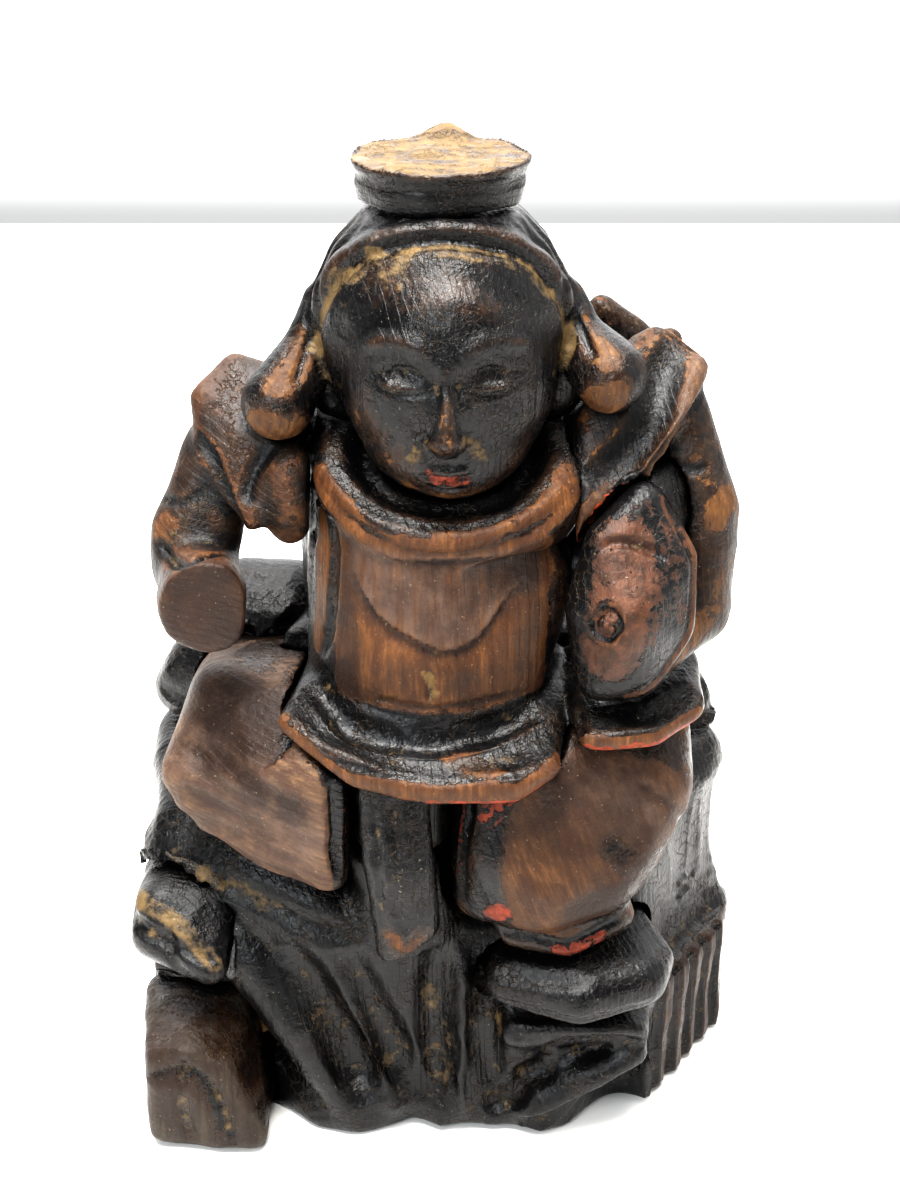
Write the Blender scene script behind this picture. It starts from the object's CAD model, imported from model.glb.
"""Looks of the carved wooden figurine: a seated man with a fish on a rock, in old lacquer.

Lengths in the carving calls are millimetres. Sides are the seated man's own: his right is at -X.
"""

import math

import bmesh
import bpy
import numpy as np
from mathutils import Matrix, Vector, noise
from mathutils.bvhtree import BVHTree


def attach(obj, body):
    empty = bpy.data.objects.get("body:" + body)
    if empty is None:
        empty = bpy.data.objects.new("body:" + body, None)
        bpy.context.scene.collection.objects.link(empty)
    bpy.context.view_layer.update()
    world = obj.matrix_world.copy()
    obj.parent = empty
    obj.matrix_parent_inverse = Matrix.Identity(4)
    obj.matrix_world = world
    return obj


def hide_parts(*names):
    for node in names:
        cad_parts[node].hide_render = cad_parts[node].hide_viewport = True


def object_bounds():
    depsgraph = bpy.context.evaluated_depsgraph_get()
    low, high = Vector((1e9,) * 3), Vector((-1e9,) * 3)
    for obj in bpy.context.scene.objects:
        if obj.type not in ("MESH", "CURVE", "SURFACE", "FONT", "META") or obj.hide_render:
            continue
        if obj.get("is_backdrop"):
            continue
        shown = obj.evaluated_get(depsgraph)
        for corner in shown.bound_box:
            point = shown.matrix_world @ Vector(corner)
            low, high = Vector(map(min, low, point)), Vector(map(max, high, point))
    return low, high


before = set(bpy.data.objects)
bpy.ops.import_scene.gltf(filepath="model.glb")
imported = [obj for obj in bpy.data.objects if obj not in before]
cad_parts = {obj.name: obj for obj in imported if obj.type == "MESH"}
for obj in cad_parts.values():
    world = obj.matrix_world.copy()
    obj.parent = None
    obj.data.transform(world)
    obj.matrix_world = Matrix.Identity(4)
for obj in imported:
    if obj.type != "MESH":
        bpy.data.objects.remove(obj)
cad_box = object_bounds()
scene = bpy.context.scene
MM = 0.001


# ---- Studio: a pale table with its far edge in view, a white wall behind, soft light from above.
# None of it belongs to the object. The camera looks down on the figurine by 27 degrees.

middle = (cad_box[0] + cad_box[1]) / 2

lens = bpy.data.cameras.new("camera")
lens.sensor_width = 36
lens.lens = 66
camera = bpy.data.objects.new("camera", lens)
camera.location = middle + Vector((0.0014, -0.256, 0.1328))
camera.rotation_euler = (math.radians(90 - 27), 0, 0)
scene.collection.objects.link(camera)
scene.camera = camera


def sheet(name, size, place, turn, colour, roughness):
    """A flat studio surface."""
    shape = bmesh.new()
    bmesh.ops.create_grid(shape, x_segments=1, y_segments=1, size=0.5)
    bmesh.ops.scale(shape, verts=shape.verts, vec=(size[0], size[1], 1))
    mesh = bpy.data.meshes.new(name)
    shape.to_mesh(mesh)
    shape.free()
    surface = bpy.data.objects.new(name, mesh)
    surface.location = place
    surface.rotation_euler = turn
    paint = bpy.data.materials.new(name)
    paint.use_nodes = True
    shader = paint.node_tree.nodes["Principled BSDF"]
    shader.inputs["Base Color"].default_value = (*colour, 1)
    shader.inputs["Roughness"].default_value = roughness
    mesh.materials.append(paint)
    scene.collection.objects.link(surface)
    surface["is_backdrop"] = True
    return surface


sheet("table", (1.6, 1.0), (0, -0.12, cad_box[0].z), (0, 0, 0), (0.83, 0.82, 0.8), 0.42)
wall = sheet("wall", (6, 4), (0, 1.6, 0), (math.radians(90), 0, 0), (0.9, 0.9, 0.9), 0.8)

# The foot of the wall is in shade behind the table.
tree = wall.data.materials[0].node_tree
height = tree.nodes.new("ShaderNodeTexCoord").outputs["Object"]
split = tree.nodes.new("ShaderNodeSeparateXYZ")
shade = tree.nodes.new("ShaderNodeMapRange")
shade.interpolation_type = "SMOOTHSTEP"
for name, value in (("From Min", -0.375), ("From Max", -0.32), ("To Min", 0.4), ("To Max", 0.9)):
    shade.inputs[name].default_value = value
tree.links.new(height, split.inputs[0])
tree.links.new(split.outputs["Y"], shade.inputs["Value"])
tree.links.new(shade.outputs[0], tree.nodes["Principled BSDF"].inputs["Base Color"])


def softbox(name, size, place, aim, power, colour):
    """A square studio light pointed at a spot."""
    lamp = bpy.data.lights.new(name, "AREA")
    lamp.shape = "RECTANGLE"
    lamp.size, lamp.size_y = size
    lamp.energy = power
    lamp.color = colour
    light = bpy.data.objects.new(name, lamp)
    light.location = place
    light.rotation_euler = (Vector(aim) - Vector(place)).to_track_quat("-Z", "Y").to_euler()
    scene.collection.objects.link(light)
    light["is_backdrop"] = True


softbox("ceiling_light", (0.36, 0.3), (-0.04, -0.1, 0.58), (0, 0, 0.06), 9.0, (1, 0.985, 0.96))
softbox("window_light", (0.3, 0.3), (-0.3, -0.62, 0.5), (0, 0, 0.06), 5.0, (0.93, 0.97, 1))
softbox("fill_light", (0.4, 0.4), (0.5, -0.1, 0.3), (0, 0, 0.06), 1.2, (1, 0.98, 0.96))
softbox("wall_light", (2.5, 0.6), (0, 0.7, 1.2), (0, 1.6, 0.3), 90, (1, 1, 1))

world = bpy.data.worlds.new("room")
world.use_nodes = True
world.node_tree.nodes["Background"].inputs["Color"].default_value = (0.93, 0.96, 1, 1)
world.node_tree.nodes["Background"].inputs["Strength"].default_value = 0.12
scene.world = world
scene.view_settings.view_transform = "Standard"
scene.view_settings.look = "High Contrast"


# ---- Carving tools. Every block starts as the plain shape of its CAD block, given an even skin of
# points, and is then worked with gouge, knife and scraper as the carver worked the wood.


def curve(points, step):
    """A smooth line through the points, as evenly spaced points."""
    points = np.array(points, float)
    if len(points) == 1:
        return points
    if len(points) > 2:
        ends = np.vstack([2 * points[0] - points[1], points, 2 * points[-1] - points[-2]])
        t = np.linspace(0, 1, 13)[:, None]
        parts = []
        for a, b, c, d in zip(ends, ends[1:], ends[2:], ends[3:]):
            bend = 2 * b + (c - a) * t + (2 * a - 5 * b + 4 * c - d) * t**2
            parts.append((bend + (3 * b - a - 3 * c + d) * t**3) / 2)
        points = np.vstack(parts)
    travel = np.append(0, np.cumsum(np.linalg.norm(np.diff(points, axis=0), axis=1)))
    even = np.linspace(0, travel[-1], max(3, int(travel[-1] / step) + 1))
    return np.stack([np.interp(even, travel, axis) for axis in points.T], 1)


def gaps(points, line):
    """Distance from each point to the nearest place of a line, and that place's index."""
    square = (points**2).sum(1)[:, None] + (line**2).sum(1) - 2 * points @ line.T
    nearest = square.argmin(1)
    return np.sqrt(np.maximum(square[np.arange(len(points)), nearest], 0)), nearest


JOINT_REACH = 2.4


def neighbours_of(node):
    """The surfaces of all the other blocks, to find where this one is close to them."""
    points, faces = [], []
    for other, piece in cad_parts.items():
        if other != node and "peg" not in other:
            start = len(points)
            points += [v.co / MM for v in piece.data.vertices]
            faces += [[start + i for i in p.vertices] for p in piece.data.polygons]
    return BVHTree.FromPolygons(points, faces)


class Block:
    """A block of wood under the tools. at and out are its points and the way out of the wood."""

    def __init__(self, node, grain_of_skin, ease):
        shape = bmesh.new()
        shape.from_mesh(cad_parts[node].data)
        bmesh.ops.remove_doubles(shape, verts=shape.verts, dist=1e-6)
        mesh = bpy.data.meshes.new("blank")
        shape.to_mesh(mesh)
        shape.free()
        blank = bpy.data.objects.new("blank", mesh)
        scene.collection.objects.link(blank)
        skin = blank.modifiers.new("even skin", "REMESH")
        skin.mode = "VOXEL"
        skin.voxel_size = grain_of_skin * MM
        seen = blank.evaluated_get(bpy.context.evaluated_depsgraph_get())
        self.mesh = bpy.data.meshes.new_from_object(seen)
        self.mesh.name = node
        bpy.data.objects.remove(blank)
        self.node = node
        self.skin = grain_of_skin
        count = len(self.mesh.vertices)
        at = np.empty(count * 3)
        self.mesh.vertices.foreach_get("co", at)
        self.at = at.reshape(-1, 3) / MM
        ends = np.empty(len(self.mesh.edges) * 2, int)
        self.mesh.edges.foreach_get("vertices", ends)
        self.ends = ends.reshape(-1, 2)
        self.beside = np.bincount(ends, minlength=count)
        self.masks = {}
        others = neighbours_of(node)
        close = [others.find_nearest(p, JOINT_REACH)[3] for p in self.at]
        self.free = np.array([1 if gap is None else gap / JOINT_REACH for gap in close])
        self.face_out()
        self.ease(ease, self.free)
        self.relax(2)

    def mean(self, values):
        """Each point's average over the points beside it."""
        a, b = self.ends.T
        total = np.bincount(a, values[b], len(values)) + np.bincount(b, values[a], len(values))
        return total / self.beside

    def mean_at(self, at):
        return np.stack([self.mean(axis) for axis in at.T], 1)

    def face_out(self):
        """Works out again which way is out of the wood, a little evened."""
        self.mesh.vertices.foreach_set("co", (self.at * MM).ravel())
        self.mesh.update()
        out = np.empty(len(self.at) * 3, np.float32)
        self.mesh.vertex_normals.foreach_get("vector", out)
        out = out.reshape(-1, 3).astype(float)
        out = self.mean_at(out)
        self.out = out / np.maximum(np.linalg.norm(out, axis=1), 1e-9)[:, None]

    def ease(self, times, where):
        """Rounds the surface over where it is told, and gives back the girth that takes away."""
        before = self.at.copy()
        for _ in range(times):
            self.at += 0.5 * (self.mean_at(self.at) - self.at) * where[:, None]
        self.face_out()
        drawn_in = ((before - self.at) * self.out).sum(1)
        for _ in range(80):
            drawn_in = self.mean(drawn_in)
        self.at += self.out * (drawn_in * where)[:, None]
        self.face_out()

    def relax(self, times, where=None):
        """Sands the surface, without drawing it in."""
        for _ in range(times):
            for push in (0.5, -0.52):
                move = push * (self.mean_at(self.at) - self.at)
                self.at += move if where is None else move * where[:, None]
        self.face_out()

    def along(self, path, width):
        """How near each point is to a line drawn on the surface, which side, and how far along."""
        line = curve(path, max(width * 0.3, self.skin * 0.7))
        low, high = line.min(0) - width - 4, line.max(0) + width + 4
        near = np.flatnonzero(((self.at > low) & (self.at < high)).all(1))
        if len(near) == 0:
            raise ValueError(f"{self.node}: no wood near {path}")
        _, owner = gaps(line, self.at[near])
        line = self.at[near][owner]
        for _ in range(3):
            line[1:-1] = (line[:-2] + 2 * line[1:-1] + line[2:]) / 4
        gap, index = gaps(self.at[near], line)
        way = np.gradient(line, axis=0) if len(line) > 1 else np.zeros_like(line)
        across = np.cross(way[index], self.out[near])
        side = np.sign(((self.at[near] - line[index]) * across).sum(1))
        touch = np.zeros(len(self.at))
        touch[near] = np.clip(1 - gap / width, 0, 1)
        sides = np.zeros(len(self.at))
        sides[near] = side
        travel = np.zeros(len(self.at))
        travel[near] = index / max(len(line) - 1, 1)
        return touch, sides, travel

    def gouge(self, path, width, depth, shape="round", taper=True):
        """One pull of a gouge along a line on the surface. A negative depth leaves a ridge."""
        touch, _, travel = self.along(path, width)
        cut = {"round": touch**2 * (3 - 2 * touch), "vee": touch, "scoop": 1 - (1 - touch) ** 2}[shape]
        if taper and len(path) > 1:
            cut = cut * np.clip(np.minimum(travel, 1 - travel) * 5, 0, 1) ** 0.7
        self.at -= self.out * (cut * depth)[:, None]
        self.face_out()
        return cut

    def step(self, path, width, depth, side=1):
        """Cuts down to a line from one side, leaving a sharp edge along it."""
        touch, sides, travel = self.along(path, width)
        cut = np.where(sides * side > 0, touch**1.5, 0) * np.clip(np.minimum(travel, 1 - travel) * 6, 0, 1)
        self.at -= self.out * (cut * depth)[:, None]
        self.face_out()

    def flat(self, point, facing, reach, soft=0.0, under=1000):
        """A knife cut: what stands past the plane, within reach of the point, is cut away."""
        facing = np.array(facing, float) / np.linalg.norm(facing)
        past = (self.at - point) @ facing
        near = (np.linalg.norm(self.at - point, axis=1) < reach) & (self.at[:, 2] < under)
        past = np.where(near & (past > 0), past, 0)
        self.at -= np.outer(past * (1 - soft), facing)
        self.face_out()

    def swell(self, point, size, height):
        """Leaves the wood proud, or hollow if the height is negative, round a point."""
        away = np.linalg.norm((self.at - point) / np.array(size, float), axis=1)
        self.at += self.out * (np.exp(-(away**2) * 2) * height)[:, None]
        self.face_out()

    def waver(self, size, height, seed=0):
        """Slow unevenness of handwork."""
        spot = [noise.noise(Vector(p / size) + Vector((seed, 0, 0))) for p in self.at]
        self.at += self.out * (np.array(spot) * height)[:, None]
        self.face_out()

    def scoops(self, size, depth, seed, where=None):
        """Shallow overlapping cuts of a flat gouge all over, as they are left before sanding."""
        choose = np.random.default_rng(seed)
        count = int(len(self.at) * self.skin**2 / size**2) + 3
        centres = self.at[choose.choice(len(self.at), count, replace=False)]
        cut = np.empty(len(self.at))
        for start in range(0, len(self.at), 20000):
            gap, _ = gaps(self.at[start : start + 20000], centres)
            cut[start : start + 20000] = np.clip(1 - (gap / size) ** 2, 0, 1)
        if where is not None:
            cut = cut * where
        self.at -= self.out * (cut * depth)[:, None]
        self.face_out()

    def tint(self, mask, cover, amount):
        """Brings a mask up to an amount where it is covered."""
        old = self.masks.get(mask, np.zeros(len(self.at)))
        self.masks[mask] = np.maximum(old, old + (amount - old) * cover)

    def paint(self, mask, path, width, amount=1.0, soft=0.5):
        """Marks a stroke on the surface, for the paint and wear that follow."""
        touch, _, _ = self.along(path, width)
        self.tint(mask, np.clip(touch / soft, 0, 1), amount)

    def mark(self, mask, where, amount=1.0):
        """Marks every point that passes a test, with soft borders."""
        cover = where.astype(float)
        for _ in range(4):
            cover = self.mean(cover)
        self.tint(mask, cover, amount)

    def scrub(self, mask, path, width):
        """Takes a mask off again along a stroke."""
        touch, _, _ = self.along(path, width)
        self.masks[mask] = self.masks[mask] * (1 - np.clip(touch / 0.5, 0, 1))

    def wash(self, mask, value):
        """Marks the whole block."""
        self.masks[mask] = np.full(len(self.at), float(value))


def oval(centre, across, deep, count=20):
    """A closed level path round a centre."""
    turns = np.linspace(0, 2 * math.pi, count + 1)
    return [(centre[0] + across * math.cos(t), centre[1] + deep * math.sin(t), centre[2]) for t in turns]


def mirrored(path, middle=1.1):
    """The same path on the other side of the face."""
    return [(2 * middle - x, y, z) for x, y, z in path]


blocks = {}


def roughed_out(node, grain_of_skin, ease=24):
    blocks[node] = Block(node, grain_of_skin, ease)
    return blocks[node]


# ---- Finishes. The wood is a pale softwood, darkened by smoke and hands, under black lacquer that
# is crackled, rubbed through on whatever stands proud, and full of ochre dust in the hollows.


def add(tree, kind, inputs=None, **settings):
    """A shader node. Inputs are numbers, colours or the sockets that feed them."""
    made = tree.nodes.new("ShaderNode" + kind)
    for name, value in settings.items():
        setattr(made, name, value)
    for name, value in (inputs or {}).items():
        if isinstance(value, bpy.types.NodeSocket):
            tree.links.new(value, made.inputs[name])
        else:
            made.inputs[name].default_value = value
    return made


def sum_of(tree, *terms):
    """Adds up (socket, factor) pairs."""
    total = 0.0
    for socket, factor in terms:
        total = add(
            tree, "Math", {0: socket, 1: factor, 2: total}, operation="MULTIPLY_ADD"
        ).outputs[0]
    return total


def product(tree, a, b):
    return add(tree, "Math", {0: a, 1: b}, operation="MULTIPLY", use_clamp=True).outputs[0]


def rise(tree, value, low, high):
    """0 below low, 1 above high, smooth in between."""
    inputs = {"Value": value, "From Min": low, "From Max": high}
    return add(tree, "MapRange", inputs, interpolation_type="SMOOTHSTEP").outputs[0]


def speckle(tree, where, scale, detail=3.0, roughness=0.55):
    """Cloudy noise; scale is in features per metre."""
    inputs = {"Vector": where, "Scale": scale, "Detail": detail, "Roughness": roughness}
    return add(tree, "TexNoise", inputs).outputs["Fac"]


def over(tree, mask, below, above):
    """One colour laid over another through a mask."""
    inputs = {0: mask, 6: below, 7: above}
    return add(tree, "Mix", inputs, data_type="RGBA").outputs[2]


def effect(name, takes, gives):
    """An empty shared effect, with its named inputs and outputs."""
    tree = bpy.data.node_groups.new(name, "ShaderNodeTree")
    for label, kind in takes:
        tree.interface.new_socket(label, in_out="INPUT", socket_type="NodeSocket" + kind)
    for label in gives:
        tree.interface.new_socket(label, in_out="OUTPUT", socket_type="NodeSocketFloat")
    return tree, tree.nodes.new("NodeGroupInput").outputs, tree.nodes.new("NodeGroupOutput").inputs


def use(tree, shared, inputs):
    """A shared effect put to use in a material."""
    made = add(tree, "Group", node_tree=shared)
    for name, value in inputs.items():
        if isinstance(value, bpy.types.NodeSocket):
            tree.links.new(value, made.inputs[name])
        else:
            made.inputs[name].default_value = value
    return made.outputs


def grain_effect():
    """Annual rings and fibres. Z of Point runs along the trunk, and its pith is 60 mm away."""
    tree, takes, gives = effect("Wood grain", [("Point", "Vector"), ("Ring", "Float")], ["Late Wood", "Fibre"])
    slow = add(tree, "Mapping", {"Vector": takes["Point"], "Scale": (1, 1, 0.16)}).outputs[0]
    bend = add(tree, "TexNoise", {"Vector": slow, "Scale": 55.0, "Detail": 2.0}).outputs["Color"]
    push = add(tree, "VectorMath", {0: bend, 1: (0.5, 0.5, 0.5)}, operation="SUBTRACT").outputs[0]
    push = add(tree, "VectorMath", {0: push, "Scale": 0.007}, operation="SCALE").outputs[0]
    moved = add(tree, "VectorMath", {0: takes["Point"], 1: push}, operation="ADD").outputs[0]
    flat = add(tree, "Mapping", {"Vector": moved, "Location": (0.045, 0.04, 0), "Scale": (1, 1, 0.02)}).outputs[0]
    from_pith = add(tree, "VectorMath", {0: flat}, operation="LENGTH").outputs["Value"]
    rings = add(tree, "Math", {0: from_pith, 1: takes["Ring"]}, operation="DIVIDE").outputs[0]
    season = add(tree, "Math", {0: rings}, operation="FRACT").outputs[0]
    late = sum_of(tree, (rise(tree, season, 0.15, 0.86), 1.0), (rise(tree, season, 0.9, 0.98), -1.0))
    tree.links.new(late, gives["Late Wood"])
    thread = add(tree, "Mapping", {"Vector": moved, "Scale": (1, 1, 0.035)}).outputs[0]
    tree.links.new(speckle(tree, thread, 2600.0, 2.0), gives["Fibre"])
    return tree


def wear_effect():
    """Where paint is left. Bare rubs it off; edges lose it first, hollows and joints keep it."""
    takes = [("Point", "Vector"), ("Bare", "Float"), ("Edge", "Float"), ("Hollow", "Float"), ("Joint", "Float")]
    tree, takes, gives = effect("Worn paint", takes, ["Paint", "Thin"])
    patches = speckle(tree, takes["Point"], 210.0, 4.0, 0.6)
    flakes = speckle(tree, takes["Point"], 1100.0, 4.0, 0.62)
    chips = speckle(tree, takes["Point"], 3200.0, 3.0, 0.6)
    level = sum_of(
        tree, (patches, 0.7), (flakes, 0.6), (chips, 0.2), (takes["Bare"], -1.0), (takes["Edge"], -0.35),
        (takes["Hollow"], 0.35), (takes["Joint"], 0.45),
    )
    tree.links.new(rise(tree, level, 0.22, 0.27), gives["Paint"])
    tree.links.new(sum_of(tree, (rise(tree, level, 0.24, 0.6), -1.0), (1.0, 1.0)), gives["Thin"])
    return tree


def crackle_effect():
    """Fine drying cracks in old lacquer, in patches."""
    tree, takes, gives = effect("Crackle", [("Point", "Vector"), ("Size", "Float")], ["Crack"])
    stir = add(tree, "TexNoise", {"Vector": takes["Point"], "Scale": 900.0, "Detail": 3.0}).outputs["Color"]
    push = add(tree, "VectorMath", {0: stir, "Scale": 0.0011}, operation="SCALE").outputs[0]
    moved = add(tree, "VectorMath", {0: takes["Point"], 1: push}, operation="ADD").outputs[0]
    scale = add(tree, "Math", {0: 1.0, 1: takes["Size"]}, operation="DIVIDE").outputs[0]
    cells = add(tree, "TexVoronoi", {"Vector": moved, "Scale": scale}, feature="DISTANCE_TO_EDGE")
    line = sum_of(tree, (rise(tree, cells.outputs["Distance"], 0.015, 0.07), -1.0), (1.0, 1.0))
    where = rise(tree, speckle(tree, takes["Point"], 160.0, 2.0), 0.48, 0.64)
    tree.links.new(product(tree, line, where), gives["Crack"])
    return tree


def dust_effect():
    """Ochre dust caught in hollows and joints, patchy."""
    takes = [("Point", "Vector"), ("Dust", "Float"), ("Hollow", "Float"), ("Joint", "Float")]
    tree, takes, gives = effect("Dust", takes, ["Cover"])
    clumps = speckle(tree, takes["Point"], 420.0, 5.0, 0.68)
    level = sum_of(tree, (clumps, 1.0), (takes["Dust"], 0.62), (takes["Hollow"], 0.17), (takes["Joint"], -0.05))
    tree.links.new(rise(tree, level, 0.72, 0.98), gives["Cover"])
    return tree


GRAIN, WORN, CRACKLE, DUST = grain_effect(), wear_effect(), crackle_effect(), dust_effect()


def old_paint(name, grain_turn=(0, 0, 0), ring=0.9, wood=(0.2, 0.08, 0.022), paint=(0.0045, 0.0042, 0.0045),
              ground=(0.3, 0.05, 0.018), rough=0.3, crack=1.1):
    """Worn paint over wood. grain_turn, in degrees, tips the trunk's line over from upright."""
    material = bpy.data.materials.new(name)
    material.use_nodes = True
    tree = material.node_tree
    shader = tree.nodes["Principled BSDF"]
    point = add(tree, "TexCoord").outputs["Object"]
    mask = {
        label: add(tree, "Attribute", attribute_name=label).outputs["Fac"]
        for label in ("bare", "red", "dust", "hollow", "edge", "joint", "dark", "dry")
    }
    trunk = add(tree, "Mapping", {"Vector": point, "Rotation": [math.radians(a) for a in grain_turn]}).outputs[0]
    grain = use(tree, GRAIN, {"Point": trunk, "Ring": ring * MM})
    worn = use(tree, WORN, {"Point": point, "Bare": mask["bare"], "Edge": mask["edge"],
                            "Hollow": mask["hollow"], "Joint": mask["joint"]})
    cracks = use(tree, CRACKLE, {"Point": point, "Size": crack * MM})["Crack"]
    dust = use(tree, DUST, {"Point": point, "Dust": mask["dust"], "Hollow": mask["hollow"],
                            "Joint": mask["joint"]})["Cover"]

    # Bare wood: rings, fibres, brown hand grease, and the paler ochre of fresh rubbed edges.
    dark_wood = [0.3 * c for c in wood]
    colour = over(tree, product(tree, grain["Late Wood"], 0.35), (*wood, 1), (*dark_wood, 1))
    colour = over(tree, product(tree, rise(tree, grain["Fibre"], 0.3, 0.7), 0.55), colour, (*dark_wood, 1))
    brown = [0.32 * wood[0], 0.28 * wood[1], 0.34 * wood[2], 1]
    lengthwise = add(tree, "Mapping", {"Vector": trunk, "Scale": (1, 1, 0.14)}).outputs[0]
    streaks = rise(tree, speckle(tree, lengthwise, 620.0, 5.0, 0.7), 0.36, 0.6)
    colour = over(tree, product(tree, streaks, 0.85), colour, brown)
    dry = product(tree, mask["dry"], rise(tree, speckle(tree, lengthwise, 900.0, 4.0, 0.7), 0.2, 0.75))
    colour = over(tree, dry, colour, (0.125, 0.084, 0.065, 1))
    grease = rise(tree, speckle(tree, point, 110.0, 5.0, 0.68), 0.36, 0.66)
    grease = sum_of(tree, (grease, 0.7), (mask["dark"], 1.3), (mask["edge"], -0.32), (mask["hollow"], 0.6), (mask["joint"], 0.3))
    grease = product(tree, grease, 0.94)
    colour = over(tree, grease, colour, (0.02, 0.009, 0.005, 1))
    soak = product(tree, worn["Thin"], rise(tree, speckle(tree, point, 500.0, 3.0), 0.35, 0.7))

    # Red ground, then the black lacquer over it, rubbed thin and brown before it gives out.
    red_left = product(tree, rise(tree, sum_of(tree, (mask["red"], 0.55), (speckle(tree, point, 900.0, 5.0, 0.65), 0.9)), 0.84, 0.9), 1.0)
    dark_ground = [0.35 * c for c in ground]
    red = over(tree, rise(tree, speckle(tree, point, 600.0, 4.0), 0.3, 0.7), (*dark_ground, 1), (*ground, 1))
    colour = over(tree, red_left, colour, red)
    coat = over(tree, product(tree, worn["Thin"], 0.75), (*paint, 1), (0.03, 0.0135, 0.007, 1))
    coat = over(tree, product(tree, soak, 0.35), coat, (0.05, 0.035, 0.022, 1))
    coat = over(tree, product(tree, cracks, 0.4), coat, (0.05, 0.03, 0.014, 1))
    covered = product(tree, worn["Paint"], sum_of(tree, (product(tree, red_left, mask["red"]), -0.8), (1.0, 1.0)))
    colour = over(tree, covered, colour, coat)
    ochre = over(tree, speckle(tree, point, 700.0, 3.0), (0.07, 0.045, 0.02, 1), (0.24, 0.16, 0.07, 1))
    colour = over(tree, product(tree, dust, 0.8), colour, ochre)
    specks = rise(tree, speckle(tree, point, 2600.0, 2.0, 0.5), 0.7, 0.74)
    colour = over(tree, product(tree, specks, 0.4), colour, (0.3, 0.25, 0.17, 1))
    tree.links.new(colour, shader.inputs["Base Color"])

    shine = sum_of(
        tree, (speckle(tree, point, 260.0, 4.0), 0.3), (covered, rough - 0.55), (dust, 0.35), (cracks, 0.12),
        (grease, -0.1), (1.0, 0.4),
    )
    tree.links.new(add(tree, "Clamp", {"Value": shine, "Min": 0.16, "Max": 0.95}).outputs[0], shader.inputs["Roughness"])

    relief = sum_of(
        tree, (covered, 0.5), (product(tree, cracks, covered), -0.45), (grain["Late Wood"], 0.1),
        (grain["Fibre"], 0.16), (speckle(tree, point, 1500.0, 4.0, 0.65), 0.45), (dust, 0.25),
        (speckle(tree, point, 420.0, 3.0), 0.6), (streaks, -0.12),
    )
    shader.inputs["Specular IOR Level"].default_value = 0.32
    bump = add(tree, "Bump", {"Height": relief, "Distance": 0.0003, "Strength": 1.0}).outputs[0]
    tree.links.new(bump, shader.inputs["Normal"])
    return material


def finished(node, material):
    """Ends the carving of a block: notes its hollows, edges and joints, and shows it."""
    block = blocks[node]
    for label, times, size in (("near", 8, 0.12), ("far", 60, 0.5)):
        even = block.at.copy()
        for _ in range(times):
            even = block.mean_at(even)
        block.masks[label] = ((even - block.at) * block.out).sum(1) / size
    relief = 0.5 * block.masks.pop("near") + 0.5 * block.masks.pop("far")
    block.masks["hollow"] = np.clip(relief, 0, 1)
    block.masks["edge"] = np.clip(-relief, 0, 1)
    block.masks["joint"] = 1 - block.free
    for label in ("bare", "red", "dust", "dark", "dry", "hollow", "edge", "joint"):
        value = block.masks.get(label, np.zeros(len(block.at)))
        attribute = block.mesh.attributes.new(label, "FLOAT", "POINT")
        attribute.data.foreach_set("value", value.astype(np.float32))
    block.mesh.vertices.foreach_set("co", (block.at * MM).ravel())
    block.mesh.shade_smooth()
    block.mesh.materials.clear()
    block.mesh.materials.append(material)
    piece = bpy.data.objects.new("carved_" + node, block.mesh)
    scene.collection.objects.link(piece)
    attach(piece, "root")
    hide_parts(node)
    return piece


# ---- Hat: the stump of a court hat, carved with a hollow band. Its tall top tore off along the
# grain long ago, so the break is rough, pale and dusty, with a peak left at the back.

hat = roughed_out("hat", 0.3, ease=10)
hat.gouge(oval((0.2, -5.5, 126.4), 10.2, 8.4), 1.5, 0.3, taper=False)
hat.waver(5, 0.5, 1)
torn = hat.out[:, 2] > 0.6
hat.scoops(3, 0.4, 2, where=torn)
for tear in range(9):
    start = -13 + 1.9 * tear
    hat.gouge([(-8, start, 128.8), (0, start + 0.6, 129), (8, start + 0.2, 128.8)], 0.8, 0.2, "vee")
hat.mark("bare", torn, 0.4)
hat.mark("dry", torn, 0.7)
hat.mark("dark", torn, 0.1)
hat.mark("dust", torn, 0.6)
finished("hat", old_paint("hat lacquer", grain_turn=(0, 90, 0), wood=(0.26, 0.2, 0.12)))


# ---- Head: one block with the cap of hair and the long ear lobes, on a round tenon that drops into
# the collar. The face is plain and calm. Lacquered black, rubbed to the wood on lobes and nose.

head = roughed_out("head", 0.3, ease=22)

# Brows, sockets and closed lids.
for side in (lambda path: path, mirrored):
    head.swell(side([(6.6, -23.2, 107.4)])[0], (4.6, 4, 2.6), -0.9)
    head.swell(side([(2.4, -23.6, 106.8)])[0], (1.8, 3, 2.4), -0.7)
    head.gouge(side([(2.6, -24.2, 110.2), (6.6, -22.6, 111.8), (11.4, -18.6, 109.6)]), 1.7, -0.5)
    head.swell(side([(6.4, -23.4, 106.2)])[0], (2.9, 2, 1.5), 0.4)
    head.gouge(side([(3.2, -23.6, 106), (6.3, -23.8, 105.3), (9.6, -21.8, 106.1)]), 0.6, 0.5, "vee")
    head.gouge(side([(3.3, -23.5, 107.7), (6.5, -23.2, 108.3), (10, -21, 107.3)]), 0.6, 0.3, "vee")
    head.swell(side([(7.4, -20.4, 100)])[0], (5.4, 4, 5), 0.6)
    head.gouge(side([(4.1, -24, 101), (5.6, -23.4, 98.4), (6, -22.4, 95.6)]), 0.9, 0.22)
    head.swell(side([(3.2, -25, 99.9)])[0], (1.4, 2, 1.3), 0.7)
    head.gouge(side([(4.3, -24.6, 101), (4.7, -24.2, 99.6)]), 0.7, 0.35)

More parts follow.
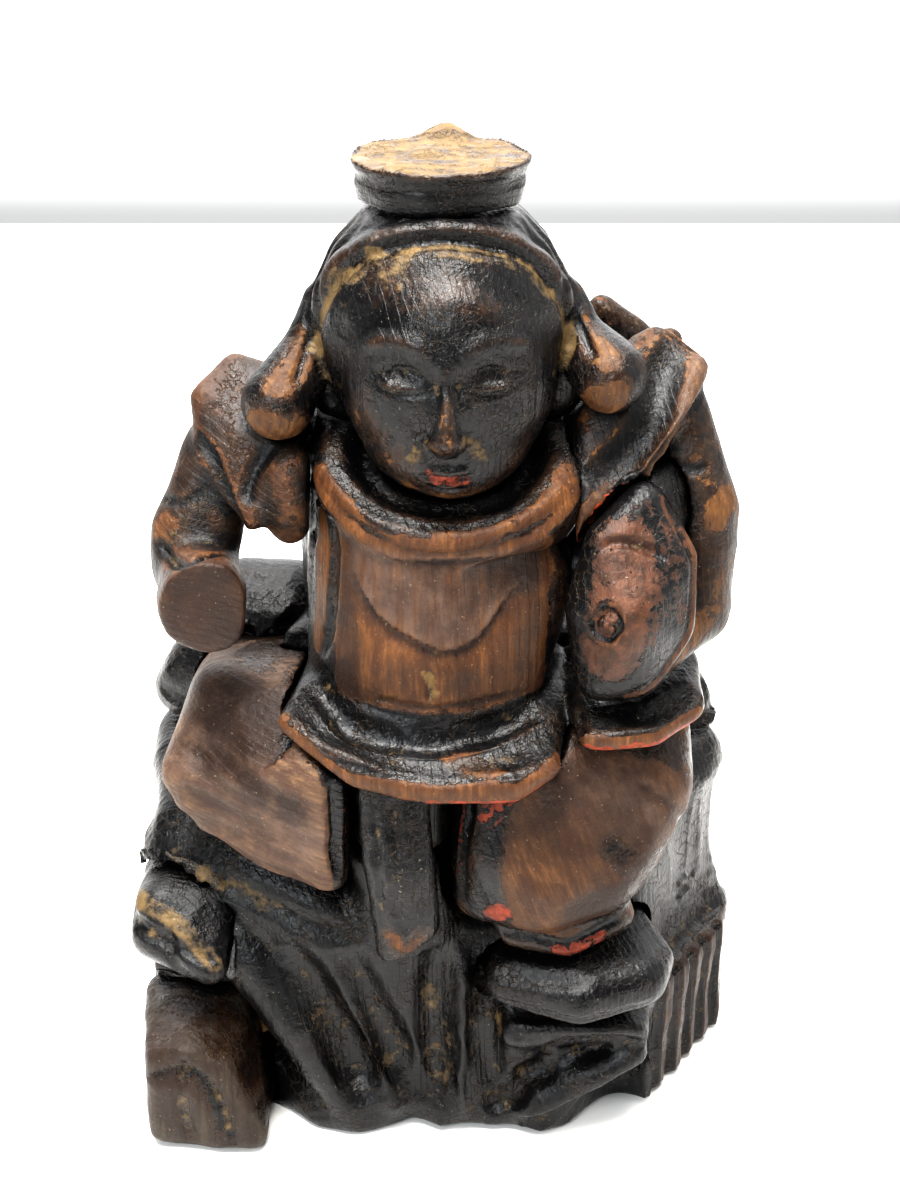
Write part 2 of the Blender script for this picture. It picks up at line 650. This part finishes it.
# Nose, lips and chin.
head.gouge([(1.1, -24, 109), (1.1, -25, 105), (1.1, -26.4, 101.4)], 1.5, -0.35)
head.swell((1.1, -26.8, 100.4), (1.6, 2, 1.6), 0.35)
head.gouge([(1.1, -24.4, 98.4), (1.1, -24.3, 96.8)], 0.8, 0.2)
head.gouge([(-1.9, -23.3, 95.8), (0, -24, 96.2), (1.1, -24.1, 96), (2.2, -24, 96.2), (4.1, -23.3, 95.8)], 0.8, -0.3)
head.gouge([(-0.9, -23.8, 93.9), (1.1, -24, 93.6), (3.1, -23.8, 93.9)], 0.9, -0.3)
head.gouge([(-2.3, -23, 95.1), (1.1, -24, 94.8), (4.5, -23, 95.1)], 0.55, 0.55, "vee")
head.gouge([(-1.4, -23, 92.5), (1.1, -23.2, 92.2), (3.6, -23, 92.5)], 1.3, 0.3)
head.swell((1.1, -22.6, 91), (3.6, 3, 2), 0.5)

# Hair: a rolled band round the forehead, and locks combed down behind the ears.
hairline = [
    (-14, -10.6, 106), (-13.6, -12.8, 112), (-11, -15, 117.4), (-6, -16.8, 120.8), (0.6, -17.4, 122),
    (7.4, -16.8, 120.8), (12.6, -15, 117.4), (15, -12.8, 112), (15.4, -10.6, 106),
]
head.swell((0.8, -21, 115), (9, 5, 7), 0.8)
head.gouge([(x * 1.06, y + 2.2, z + 0.8) for x, y, z in hairline], 2.6, -0.9)
head.gouge(hairline, 1.2, 0.9, "vee")
for side in (-1, 1):
    for lock in range(5):
        back = -12 + 3.4 * lock
        head.gouge(
            [(side * 8, back * 0.8, 121), (side * 13, back * 0.9, 116), (0.6 + side * 15, back, 109), (0.6 + side * 13, back, 101)],
            1.0, 0.5, "vee",
        )
for lock in range(-3, 4):
    head.gouge([(lock * 2.4, 3, 122), (lock * 3.6, 8, 113), (lock * 3.6, 7, 102)], 1.0, 0.5, "vee")

# Ears: a groove inside each rim, running down into the lobe.
head.gouge([(-14.6, -10, 111), (-15.6, -12.2, 106.4), (-17.2, -14.4, 102.6)], 1.1, 0.5)
head.gouge([(16, -10, 111.4), (17.2, -12.2, 108.4), (18.6, -14.2, 106)], 1.1, 0.5)
head.scoops(3.4, 0.16, 5)
head.waver(9, 0.3, 3)

head.paint("dust", hairline, 1.6, 0.5)
head.paint("dust", [(x * 0.97, y - 1, z - 1.4) for x, y, z in hairline], 2.4, 0.2)
head.paint("bare", [(-20.6, -16, 98.4), (-17.4, -16, 97)], 3.6, 0.72, 0.8)
head.paint("bare", [(20.6, -16.4, 102.4), (18.6, -16, 101.4)], 3.2, 0.85, 0.8)
head.paint("bare", [(-15.4, -11, 107), (-18.6, -14, 103)], 2.8, 0.5)
head.paint("bare", [(17, -11, 109), (20, -14.6, 106)], 2.4, 0.4)
head.paint("bare", [(1.1, -26, 103), (1.1, -26.6, 100.4)], 4.4, 0.16, 1.0)
head.paint("bare", [(-9, -19, 101), (-6, -21, 97)], 6, 0.38, 1.0)
head.paint("bare", [(11, -19, 101), (10, -20, 96)], 5, 0.3, 1.0)
for side in (lambda path: path, mirrored):
    head.paint("dust", side([(3.2, -24, 106.6), (9, -22, 106.4)]), 2.6, 0.12)
    head.paint("dust", side([(12.4, -15, 104), (10.6, -17, 96)]), 2.6, 0.28)
    head.paint("dust", side([(3.4, -25, 100.4), (5.6, -23, 97)]), 1.2, 0.4)
head.paint("bare", [(-4, -21.6, 91), (1.1, -22.6, 90), (7, -20.6, 92)], 3.4, 0.42, 1.0)
head.paint("bare", [(-6, -18, 117), (4, -19, 116)], 5, 0.3, 1.0)
head.paint("red", [(-1, -23.6, 95), (3.4, -23.6, 94.8)], 1.2, 0.85)
head.paint("dust", [(-5, -18.4, 118)], 3, 0.5)
finished("head", old_paint("head lacquer", wood=(0.16, 0.074, 0.023), crack=0.9))


# ---- Fish: its own block, carved with a gill, a ring eye and a rim down its back, and held against
# the chest. Brick-red paint shows where the black over it has flaked away.

fish = roughed_out("fish", 0.3, ease=30)
fish.swell((23, -25, 77), (6, 4, 9), 0.8)
fish.gouge([(28.4, -17, 91), (31, -20, 85), (31, -21.4, 78), (28.2, -23, 71), (23, -25, 66.4)], 1.0, 0.6, "vee")
fish.gouge([(17.6, -24, 86.4), (21, -25, 88.4), (25, -25, 88), (28, -23.6, 85)], 0.9, 0.8, "vee")
eye = Vector((19.4, -26.6, 77.6))
rim = [eye + Vector((2 * math.cos(t), 0, 2 * math.sin(t))) for t in np.linspace(0, 2 * math.pi, 17)]
fish.gouge(rim, 0.9, 0.8, taper=False)
pupil = [eye + Vector((1.2 * math.cos(t), 0, 1.2 * math.sin(t))) for t in np.linspace(0, 2 * math.pi, 5)]
fish.swell(eye, (1.1, 2, 1.1), 0.35)
for start, end in zip(pupil, pupil[1:]):
    fish.gouge([start, end], 0.5, 0.4, "vee", taper=False)
fish.scoops(4.5, 0.2, 7)
fish.wash("bare", -0.1)
fish.paint("bare", [(23, -25, 88), (22, -26, 82), (20.4, -27, 75)], 5.0, 0.42, 0.9)
fish.paint("red", [(22.6, -25, 87.6), (21.4, -26.6, 80), (20.4, -27, 73)], 6.4, 1.0)
fish.paint("red", [(26, -25, 86), (25, -26.6, 76)], 4.4, 0.86, 0.9)
fish.paint("red", [(26.4, -22, 90), (29.4, -21, 85.6), (29, -22, 78)], 4.4, 0.72)
fish.paint("bare", [(28.8, -18, 91), (31.4, -20, 85), (31.2, -21.4, 78), (28.4, -23, 70.6), (23, -25, 65.8)], 0.9, 0.5)
fish.scrub("red", rim, 0.7)
finished("fish", old_paint("fish paint", ground=(0.1, 0.042, 0.022), wood=(0.13, 0.055, 0.022), crack=1.4))


# ---- Tail fin of the fish: two spread lobes standing up behind the left shoulder, with fin rays.
# Black lacquer gone grey-green with dust.

fin = roughed_out("fish_tail", 0.35, ease=30)
for ray in ((20.4, 102.5), (22.6, 101.6), (24.6, 100.2), (28.6, 99.2), (30.4, 98.4)):
    fin.gouge([(ray[0], 11, ray[1]), (23.5, 9, 92)], 0.9, 0.45, "vee")
    fin.gouge([(ray[0], 16.5, ray[1]), (23.5, 15, 92)], 0.9, 0.45, "vee")
fin.scoops(4, 0.25, 9)
fin.wash("dust", 0.28)
fin.wash("bare", 0.12)
finished("fish_tail", old_paint("fin lacquer"))


# ---- Sash end: the hanging tail of the sash, carved as one narrow block that laps over the rock.
# Its square-cut tip has lost its lacquer.

sash = roughed_out("sash_end", 0.3, ease=70)
sash.gouge([(-5.2, -31, 56), (-5, -32, 46), (-4.6, -32, 37)], 1.5, 0.5)
sash.gouge([(-7.6, -30.6, 54), (-7.2, -31.6, 46), (-6.8, -31.4, 38)], 0.8, 0.35, "vee")
sash.flat((-4, -31, 33.5), (0.35, -0.2, -1), 6, 0.3)
sash.scoops(3, 0.25, 12)
sash.wash("dust", 0.22)
sash.wash("bare", -0.2)
sash.swell((-4.8, -31.6, 46), (2.6, 3, 11), 1.1)
sash.paint("bare", [(-6, -31.6, 37), (-4, -31.6, 34.6), (-2.4, -31.4, 37)], 2.6, 0.5, 0.9)
finished("sash_end", old_paint("sash lacquer"))


# ---- Left foot in its shoe: a rounded toe pointing to the left side, with the edge of the sole
# cut in. Glossy black.

shoe = roughed_out("left_foot", 0.3, ease=34)
shoe.gouge([(5.8, -27.4, 23.4), (12, -30, 22.6), (20, -31, 22.2), (28, -28, 22.8)], 0.9, 0.45, "vee")
shoe.gouge([(6, -27, 28.4), (14, -29, 28.6), (20, -29.6, 28.8)], 2.2, 0.5)
shoe.scoops(3.6, 0.2, 14)
shoe.wash("bare", -0.25)
finished("left_foot", old_paint("shoe lacquer", rough=0.26))


# ---- Right arm: a short sleeve with a turned-back flap, a fold of cloth in front of the shoulder,
# the bent arm, and the smooth flat stump where a lost hand block was joined on.

STUMP_FACE = -24
arm = roughed_out("right_arm", 0.35, ease=26)
arm.flat((-27.4, STUMP_FACE, 78.5), (0, -1, 0.05), 9)
arm.step([(-29.8, -9, 95.6), (-27, -11.4, 93.6), (-25.4, -14, 89.6), (-23.6, -16.4, 85)], 3.2, 1.0)
arm.gouge([(-29.8, -9, 94.6), (-27.4, -11.4, 92.4), (-25.8, -13.8, 88.6), (-24, -16, 84.4)], 1.1, 0.5, "vee")
arm.gouge([(-23, -14.6, 87.6), (-22.4, -13.4, 91.4), (-20, -12, 94.4)], 1.4, 0.9, "vee")
arm.gouge([(-34.4, -13, 81.6), (-32, -19, 83), (-29.4, -22, 84.1), (-25.2, -17, 82.4)], 1.0, 1.2, "vee")
arm.gouge([(-35.4, -8, 86), (-31, -13.6, 88), (-27.6, -12, 89)], 1.0, 0.35)
arm.waver(7, 0.5, 4)
arm.scoops(4, 0.25, 15)
arm.flat((-27.4, STUMP_FACE + 0.25, 78.5), (0, -1, 0.05), 9)
wrist = np.clip((STUMP_FACE + 4 - arm.at[:, 1]) / 3, 0, 1)
arm.ease(14, wrist)
stump = (arm.at[:, 1] < STUMP_FACE + 1.4) & (arm.at[:, 2] < 84.4)
arm.wash("bare", 0.26)
arm.paint("dry", [(-28, -3, 102.6), (-24, -9, 97)], 4.2, 0.6, 0.9)
arm.mark("bare", stump, 1.0)
arm.mark("dark", stump, 0.7)
arm.paint("bare", [(-28, -3, 102.6), (-24, -9, 97), (-21, -13, 92)], 4.2, 0.42)
arm.paint("dark", [(-28, -3, 102.6), (-24, -9, 97), (-21, -13, 92)], 4.2, 0.3)
arm.paint("bare", [(-33.4, -11.6, 83.4), (-31, -18, 84.4), (-27, -20, 85.4)], 2.4, 0.5)
arm.paint("bare", [(-20.4, -15.6, 84), (-17.4, -15.6, 83)], 1.6, 0.7)
arm.paint("dust", [(-33, -10, 84), (-29, -16, 85)], 5, 0.25)
finished("right_arm", old_paint("right arm paint", grain_turn=(75, 0, 0), wood=(0.12, 0.053, 0.019), rough=0.48))


# ---- Left arm: the jacket's open front rolled back over the shoulder, with a dark recess inside
# the roll, then the bent arm that holds the fish.

arm = roughed_out("left_arm", 0.38, ease=26)
roll_edge = [(31.6, -5, 102), (31, -9, 99.6), (26.9, -13.2, 96), (22.8, -16.6, 92), (16.6, -18, 84.4)]
arm.gouge([(30, -2, 104), (27.4, -7, 102), (25.2, -12, 96.7), (21.7, -14.6, 93.4), (18.4, -15.8, 90)], 3.0, 1.5, "scoop")
arm.gouge(roll_edge, 1.1, -0.4)
arm.gouge([(33, -5, 100), (32, -9.4, 97.4), (28, -13.6, 93.8), (24, -16.6, 90), (18, -18, 83.6)], 1.3, 1.2, "vee")
arm.gouge([(33, -10, 91), (29.6, -13.4, 91.2), (27, -14.4, 90.4)], 1.2, 0.4)
arm.waver(8, 0.5, 6)
arm.scoops(4.5, 0.25, 17)
arm.wash("bare", 0.24)
arm.paint("bare", roll_edge, 2.2, 0.55)
arm.paint("dark", roll_edge, 2.2, 0.4)
arm.paint("dry", roll_edge[:3], 3.4, 0.6, 0.9)
arm.paint("bare", [(24.6, -15.4, 92.2), (20, -17, 88), (16.6, -18, 84.4)], 1.9, 0.8)
arm.paint("red", [(23.6, -16.4, 90.6), (17.6, -18, 83.8)], 0.9, 0.8)
arm.paint("bare", [(31, -10.4, 96), (29.4, -12.4, 93.4)], 2.8, 0.7)
arm.paint("bare", [(36, -10, 87), (34, -12, 84.6)], 2.4, 0.5)
arm.paint("bare", [(36, -11, 78), (33, -14, 72), (27, -19, 66.6)], 2.4, 0.4)
arm.paint("dust", [(34, -8, 96), (37, -8, 88)], 4, 0.2)
finished("left_arm", old_paint("left arm paint", wood=(0.16, 0.074, 0.023), rough=0.42))


# ---- Body: the trunk in its jacket, with the rolled collar, the bared belly and the flared hem, all
# one block. The belly is rubbed to bare wood; a knife facet under the collar shines grey.

body = roughed_out("body", 0.42, ease=16)
belly_edge = [
    (-10.6, -21, 82), (-8.4, -22, 77.4), (-4.6, -23.4, 74.8), (0.2, -24, 72.6), (4.8, -23, 73.8),
    (7, -22, 76.8), (10.6, -20, 81),
]
body.swell((12.4, -18, 75), (6, 6, 15), 2.4)
body.swell((14.6, -15, 80), (5, 6, 12), 3.0)
body.swell((1, 13, 86), (7, 5, 7), 1.4)
body.swell((-1, -25, 80), (12, 6, 10), 0.5)
body.flat((0, -23.4, 79), (0, -1, 0.22), 12.5, under=84.6)
body.step(belly_edge, 3.4, 0.9)
collar_edge = [
    (-15, -14.8, 92), (-11, -20.6, 88.8), (-5.6, -23.6, 86.4), (0.2, -24.6, 85.5), (6.1, -24, 86),
    (12, -21.6, 88.4), (16.2, -16.6, 91),
]
body.gouge(collar_edge, 1.6, 0.9, "vee")
body.gouge([(x * 0.93, y + 1.5, z + 3.4) for x, y, z in collar_edge], 1.4, 0.3)
body.gouge([(-13.4, -17.4, 87.3), (-13.3, -18.4, 81.7), (-13.7, -18.4, 75), (-15.2, -17, 67.8)], 1.3, 1.1, "vee")
body.gouge([(-15.6, -14, 88), (-16.4, -13, 79.8), (-17.2, -10, 69.3)], 1.2, 0.7, "vee")
body.gouge([(15, -16, 86), (16, -16, 79), (16, -16, 70), (15, -18, 65)], 1.6, 0.8)
body.gouge([(-1.2, -24.4, 70.5), (-0.9, -25, 65.6)], 0.9, 0.5)
chest_foot = [(-16, -18, 65.6), (-10.7, -24.4, 65), (-4.6, -26, 64.2), (0.2, -26.2, 63.9), (6.3, -24.2, 63.9), (12.5, -20.4, 64)]
body.gouge([(x, y, z + 1.4) for x, y, z in chest_foot], 0.7, 0.35, "vee")
body.gouge([(x, y, z - 2.2) for x, y, z in chest_foot], 2.2, 1.6)
hem_front = [
    (-19.6, -24, 62.6), (-14.4, -28, 59), (-8.3, -30.4, 57.6), (-1, -31.8, 57), (5, -31.4, 57),
    (11, -30.4, 57.2), (16.8, -27.4, 58.6),
]
body.gouge([(x * 0.96, y + 3.4, z + 3.2) for x, y, z in hem_front], 3.2, 1.2, "scoop")
body.gouge([(x, y + 0.8, z + 1.9) for x, y, z in hem_front], 0.7, 0.3, "vee")
left_hem = [(17.6, -26.4, 60.6), (22, -26.2, 60.8), (27, -25, 61), (32, -20.4, 61.6)]
body.gouge([(x, y + 2.8, z + 2.4) for x, y, z in left_hem], 2.4, 0.8, "scoop")
body.gouge([(16.6, -26, 62.4), (15.8, -22, 64)], 1.4, 0.9, "vee")
body.waver(8, 0.35, 8)
x, y, z = body.at.T
belly = (y < -13) & (z > 64.8) & (z < 87) & (x > -12.6) & (x < 13)
body.scoops(4, 0.22, 19, where=1.0 - body.mean(belly.astype(float)) * 0.7)
body.mark("bare", belly, 1.1)
body.mark("dark", belly & (abs(x) > 9.4), 0.5)
body.mark("dark", belly & (z < 71), 0.2)
body.paint("bare", [(-15, -15.6, 87), (-15, -16, 80), (-15.6, -15, 69)], 1.7, 0.95)
edge_x, _, edge_z = np.array(belly_edge).T
facet = belly & (abs(x) < 10.4) & (z < 85.4) & (z > np.interp(x, edge_x, edge_z))
body.mark("dry", facet, 0.85)
body.mark("dark", facet, 0.15)
body.paint("bare", collar_edge, 1.9, 0.6)
body.paint("red", [(x * 0.97, y + 1, z + 1.8) for x, y, z in collar_edge[3:]], 1.6, 0.5)
body.paint("bare", [(x * 0.97, y + 1, z + 1.8) for x, y, z in collar_edge[3:]], 1.8, 0.3)
body.paint("bare", hem_front, 1.9, 0.68)
body.paint("red", [(x, y + 0.6, z - 1.8) for x, y, z in hem_front[3:]], 1.3, 0.8)
body.paint("bare", [(2, -28, 61), (6, -29, 59.6)], 2.6, 0.5)
body.paint("bare", left_hem, 1.5, 0.85)
body.paint("red", [(x, y, z - 0.6) for x, y, z in left_hem], 1.0, 0.9)
body.paint("dust", [(-1.1, -24.6, 69.6), (-0.9, -25.2, 66)], 1.0, 0.5)
body.paint("dust", [(x, y + 2.4, z + 2) for x, y, z in hem_front], 3, 0.22)
finished("body", old_paint("jacket paint", ring=1.5, wood=(0.16, 0.067, 0.02)))


# ---- Knees: two blocks for the wide trouser legs. Hands have worn the fronts to brown wood, and
# the grain runs across them. The left one is gathered in a cuff over the shoe.

knee = roughed_out("right_knee", 0.42, ease=34)
knee.swell((-24, -24, 53), (9, 6, 7), 0.6)
knee.gouge([(-12.8, -28.4, 57.5), (-12.7, -29, 51), (-12.6, -28.6, 43)], 1.3, 0.9, "vee")
knee.flat((-24, -19.6, 62), (-0.2, -0.75, 0.65), 8, 0.2)
for cut in range(1, 7):
    low = 61 - 2.6 * cut
    knee.gouge([(-33, -15, low - 1.4), (-25, -23, low - 2.8), (-15, -28, low - 6)], 1.7, 0.4, "scoop")
knee.gouge([(-33.6, -16, 50), (-28, -20.6, 46), (-20, -25, 42.4)], 1.2, 0.5)
knee.waver(8, 0.4, 10)
knee.wash("bare", 0.46)
knee.paint("bare", [(-30, -19, 56), (-24, -24, 53), (-17, -28, 48)], 9, 1.2)
knee.paint("bare", [(-28, -16, 63), (-22, -20, 62)], 5, 1.0)
knee.paint("dark", [(-12.2, -28, 58), (-12, -28, 42)], 1.2, 0.9)
knee.paint("red", [(-11.8, -27, 54), (-11.8, -27, 44)], 0.9, 0.7)
knee.paint("dark", [(-29, -16, 63), (-22, -20, 61)], 7, 0.7)
knee.paint("dry", [(-30, -19, 55), (-17, -28, 49)], 7, 0.8, 0.8)
knee.scrub("bare", [(-11.6, -28, 58), (-11.6, -29, 50), (-11.6, -28, 42)], 2.4)
knee.paint("dark", [(-26, -22, 55), (-17, -27, 53)], 3.4, 0.45, 0.9)
knee.paint("bare", [(-33.6, -16, 49), (-28, -20.6, 45), (-20, -25, 41.4), (-14, -27, 39.6)], 1.8, 1.0)
finished("right_knee", old_paint("right knee paint", (0, 72, 12), ring=0.95, wood=(0.16, 0.092, 0.05)))

knee = roughed_out("left_knee", 0.42, ease=34)
knee.swell((13, -30, 43), (11, 7, 10), 1.0)
knee.gouge([(2.6, -27, 57), (2.2, -28, 47), (2.6, -26.6, 38)], 1.2, 0.7, "vee")
knee.gouge([(5.2, -26, 33), (10, -28, 32.8), (17, -29, 32.8), (24, -25, 34.8)], 1.2, 0.7, "vee")
knee.gouge([(22, -26, 57), (28, -21, 50), (29, -20, 44), (24, -25, 38)], 1.2, 0.25)
knee.gouge([(10, -29, 41), (16, -30, 39), (22, -27.6, 41)], 2.4, 0.25)
knee.waver(9, 0.4, 12)
knee.scoops(5, 0.16, 21)
knee.wash("bare", 0.3)
knee.paint("bare", [(14, -29, 50), (12, -29, 43), (16, -29, 40)], 8, 1.2)
knee.paint("bare", [(20, -26, 55), (26, -22, 50)], 6, 1.1)
knee.paint("dark", [(18, -28, 52), (24, -24, 48)], 8, 0.4)
knee.scrub("bare", [(3.6, -29, 56), (3.6, -30, 47), (4, -30, 38)], 5.4)
knee.scrub("bare", [(6, -27, 31), (16, -29, 30.6), (24, -25, 32)], 2.6)
knee.paint("dark", [(5, -28, 55), (4.6, -28, 47), (5, -28, 38)], 5.0, 1.0, 0.8)
knee.paint("red", [(8, -28.6, 55), (6, -28.6, 52)], 2.6, 0.8)
knee.paint("dry", [(20, -27, 55), (26, -22, 50)], 7, 0.7, 0.9)
knee.paint("red", [(8.4, -28, 39), (7, -28, 37.4)], 2.2, 1.0)
knee.paint("red", [(2, -27, 54), (2, -27, 42)], 0.9, 0.7)
knee.paint("red", [(5, -28, 56), (11, -28, 56)], 1.4, 0.8)
knee.paint("dark", [(6, -27, 31), (16, -29, 30.6), (24, -25, 32)], 2.4, 1.0)
knee.paint("red", [(15, -28.4, 31.4), (21, -25.6, 32)], 1.5, 0.9)
knee.paint("dark", [(17, -29, 38), (23, -26, 40)], 3, 0.7)
finished("left_knee", old_paint("left knee paint", (0, 20, 25), ring=1.1, wood=(0.11, 0.05, 0.019)))


# ---- Stones: two rough blocks pegged to the rock's right front corner, cut with a few flat chops.
# The lower one is bare and grey-brown in front.

stone = roughed_out("upper_stone", 0.42, ease=20)
stone.gouge([(-41, -16, 31), (-35, -23, 29.6), (-28, -26, 28.6)], 1.6, 0.7)
stone.gouge([(-36, -22, 34), (-34, -24, 26), (-31, -25.6, 22.6)], 1.4, 0.5)
stone.scoops(4, 0.45, 23)
stone.wash("dust", 0.16)
stone.wash("bare", -0.2)
stone.paint("dust", [(-40, -18, 33.6), (-34, -22, 32), (-29, -24, 27)], 1.8, 0.6)
finished("upper_stone", old_paint("upper stone lacquer"))

stone = roughed_out("lower_stone", 0.42, ease=16)
stone.flat((-38, -28, 15.5), (-0.5, -0.6, 1), 6, 0.2)
stone.flat((-24, -28, 13), (1, -0.5, 0.5), 7, 0.2)
stone.gouge([(-33, -30, 16), (-34, -30.6, 9), (-33, -30, 2)], 1.6, 0.5)
stone.scoops(4.4, 0.4, 25)
stone.wash("dust", 0.2)
stone.wash("bare", 0.3)
stone.step([(-40, -28, 11), (-36, -31, 14), (-31, -31, 13.4), (-28, -31, 8), (-26.6, -30, 1)], 4, 1.1)
stone.paint("bare", [(-36, -30, 10), (-34, -30, 4)], 5.4, 0.62)
stone.paint("dark", [(-36, -30, 10), (-32, -30, 6)], 9, 0.36)
stone.flat((0, 0, 0), (0, 0, -1), 200)
finished("lower_stone", old_paint("lower stone paint", ring=1.1, wood=(0.06, 0.045, 0.03)))


# ---- Upper rock: the crag behind the seat, highest at the man's right, cut in long upright facets.

crag = roughed_out("upper_rock", 0.5, ease=14)
for start, end in (
    ((-31, 2, 60), (-38, 3, 47)), ((-24, 2, 66), (-24, -3, 50)), ((-14, 14, 62), (-8, 13, 50)),
    ((4, 15, 60), (6, 14, 48)), ((24, 8, 55), (26, 5, 47)), ((34, 8, 50), (38, 6, 46)),
    ((-30, 16, 62), (-36, 20, 48)), ((-8, 26, 60), (-6, 29, 47)), ((14, 26, 58), (16, 28, 47)),
):
    crag.gouge([start, ((Vector(start) + Vector(end)) / 2)[:], end], 4.0, 1.3, "scoop")
crag.swell((-20, 2, 60), (10, 9, 9), 3.4)
crag.gouge([(-17, 4, 68), (-22, 0, 64), (-27, -3, 58)], 1.6, -0.7)
crag.waver(12, 0.8, 14)
crag.scoops(7, 0.6, 27)
crag.wash("dust", 0.08)
crag.wash("bare", -0.3)
finished("upper_rock", old_paint("upper rock lacquer", crack=1.6))


# ---- Main rock: the largest block, hollow-cut in slabs that run down from the man's right to his
# left, with upright gouge flutes at its left front corner. Thick glossy lacquer, dust in the folds.

rock = roughed_out("main_rock", 0.5, ease=36)
rock.step([(-42, -10, 32), (-34.3, -17, 29), (-26.8, -21, 22), (-22.4, -23, 16), (-18.4, -25, 9), (-15, -27, 2)], 5, 2.4)
rock.gouge([(-40, -8, 38.4), (-28, -18, 36.4), (-17, -23, 33), (-10, -24, 31)], 2.6, 0.9)
rock.gouge([(-20, -23, 30), (-16, -25, 23), (-12, -26, 13), (-9, -26, 5)], 3.8, 2.2)
rock.gouge([(-12, -24, 30), (-9, -25, 22), (-6, -25, 14), (-4, -25, 5)], 3.2, 1.9)
rock.gouge([(-1.2, -22, 30), (-0.6, -23, 18), (-0.8, -25, 4)], 3.2, 2.2)
rock.gouge([(3, -23, 30), (3, -25, 15), (3, -26, 2)], 1.8, -1.2)
rock.gouge([(6.4, -22, 27), (6.6, -24, 14), (8, -26, 4)], 2.8, 1.9)
rock.gouge([(7, -27, 19.6), (16, -28, 20), (28, -26, 18.6)], 1.4, -0.5)
rock.gouge([(6.1, -27, 4), (11.3, -28, 10), (19.1, -28, 14.4), (27.6, -26, 14.8)], 2.4, 2.0)
rock.gouge([(10, -27, 0.6), (16, -27, 4), (24, -26, 6.4), (28, -24, 9)], 2.2, 1.4)
for flute in range(5):
    x, y = 30.4 + 2.3 * flute, -18.4 + 3.4 * flute
    rock.gouge([(x, y, -0.5), (x, y, 10), (x + 0.4, y + 1, 20)], 1.3, 1.3, taper=False)
for start, end in (
    ((40, 0, 42), (41, -2, 20)), ((41, 10, 40), (41, 12, 8)), ((36, -8, 42), (38, -6, 24)),
    ((34, 26, 40), (35, 26, 8)), ((18, 31, 42), (20, 32, 6)), ((2, 32, 42), (-2, 32, 8)),
    ((-16, 31, 40), (-20, 31, 8)), ((-34, 25, 42), (-34, 26, 8)), ((-40, 12, 42), (-40, 10, 8)),
    ((-40, -2, 30), (-40, -4, 8)),
):
    middle_of = (Vector(start) + Vector(end)) / 2
    rock.gouge([start, (middle_of + Vector((1.5, 0, 0)))[:], end], 5.0, 1.3, "scoop")
rock.waver(14, 0.9, 16)
rock.scoops(7, 0.5, 29)
rock.flat((0, 0, 0), (0, 0, -1), 200)
x, y, z = rock.at.T
fluted = (x > 29) & (y < 2) & (z < 20)
rock.wash("bare", -0.3)
rock.mark("bare", fluted, 0.3)
rock.mark("dark", fluted, 0.8)
rock.wash("dust", 0.06)
rock.paint("dust", [(-38, -10, 37.6), (-28, -18, 36), (-20, -22, 33.6)], 2.0, 0.35)
rock.paint("dust", [(-1.2, -23, 26), (-0.8, -24, 6)], 1.6, 0.12)
rock.paint("dust", [(6.4, -24, 24), (7.6, -26, 6)], 1.6, 0.1)
finished("main_rock", old_paint("rock lacquer", crack=1.6, rough=0.3))


# ---- Pegs: split bamboo shaved round, one or two across each joint and hidden inside it. Their
# ends are eased so that they start in the hole.

bamboo = bpy.data.materials.new("bamboo")
bamboo.use_nodes = True
tree = bamboo.node_tree
shader = tree.nodes["Principled BSDF"]
along = add(tree, "UVMap", uv_map="along").outputs["UV"]
strands = add(tree, "Mapping", {"Vector": along, "Scale": (1, 0.05, 1)}).outputs[0]
strand = speckle(tree, strands, 3.0, 3.0)
colour = over(tree, rise(tree, strand, 0.3, 0.7), (0.36, 0.22, 0.08, 1), (0.62, 0.44, 0.19, 1))
node_rings = rise(tree, speckle(tree, along, 0.25, 1.0), 0.62, 0.66)
colour = over(tree, product(tree, node_rings, 0.5), colour, (0.3, 0.17, 0.06, 1))
tree.links.new(colour, shader.inputs["Base Color"])
tree.links.new(sum_of(tree, (strand, -0.2), (1.0, 0.7)), shader.inputs["Roughness"])
bump = add(tree, "Bump", {"Height": strand, "Distance": 0.00008}).outputs[0]
tree.links.new(bump, shader.inputs["Normal"])

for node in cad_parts:
    if "peg" not in node:
        continue
    shape = bmesh.new()
    shape.from_mesh(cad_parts[node].data)
    bmesh.ops.remove_doubles(shape, verts=shape.verts, dist=1e-6)
    bmesh.ops.dissolve_limit(shape, angle_limit=0.02, verts=shape.verts, edges=shape.edges)
    ends = sorted(shape.faces, key=lambda face: -len(face.verts))[:2]
    start, end = (face.calc_center_median() for face in ends)
    rims = [edge for face in ends for edge in face.edges]
    bmesh.ops.bevel(shape, geom=rims, offset=0.3 * MM, segments=2, profile=0.5, affect="EDGES")
    way = (end - start).normalized()
    flat_way = way.orthogonal()
    layer = shape.loops.layers.uv.new("along")
    for face in shape.faces:
        face.smooth = len(face.verts) < 8
        for loop in face.loops:
            off = loop.vert.co - start
            turn = math.atan2(off.dot(way.cross(flat_way)), off.dot(flat_way))
            loop[layer].uv = (abs(turn) * 1.1, off.dot(way) / MM)
    mesh = bpy.data.meshes.new(node)
    shape.to_mesh(mesh)
    shape.free()
    mesh.materials.append(bamboo)
    peg = bpy.data.objects.new("bamboo_" + node, mesh)
    scene.collection.objects.link(peg)
    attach(peg, "root")
    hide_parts(node)


# ---- Sizes, to compare with the CAD, and the end.

low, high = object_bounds()
